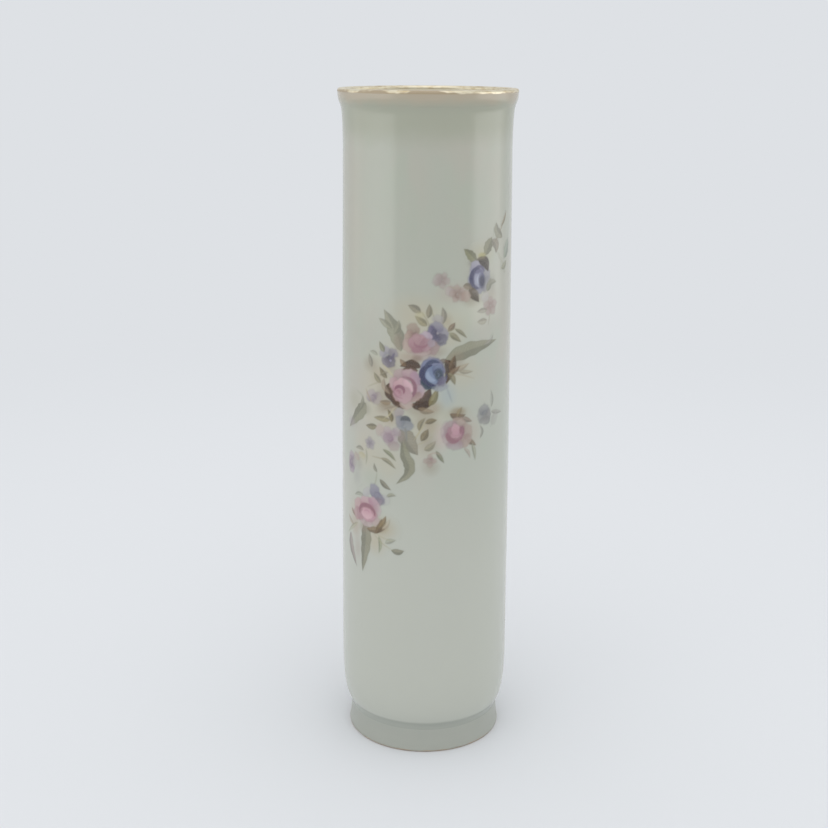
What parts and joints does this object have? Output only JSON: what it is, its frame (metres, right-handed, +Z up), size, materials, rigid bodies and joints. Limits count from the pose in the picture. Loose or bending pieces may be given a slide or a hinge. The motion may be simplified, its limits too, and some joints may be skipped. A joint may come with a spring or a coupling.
{
  "type": "bud vase",
  "caption": "Slim cylindrical porcelain bud vase with a turned-out gilded lip and a low foot ring, glazed all over.",
  "frame": {"origin": "centre of the foot ring's resting face, at the bottom of the vase", "axes": "+Z up along the vase's axis, towards the mouth; the painted side faces -Y, with +X to its right"},
  "size_m": [0.0522, 0.0522, 0.2],
  "materials": {
    "glazed_porcelain": "clear gloss glaze with a faint pearl sheen over pale grey-white porcelain",
    "foot_porcelain": "thin satin glaze, wiped bare on the resting edge",
    "fired_gold": "bright fired gold, brushed on by hand"
  },
  "bodies": {
    "root": {"vase_body": "glazed_porcelain", "foot_ring": "foot_porcelain", "gilt_rim": "fired_gold"}
  },
  "joints": []
}
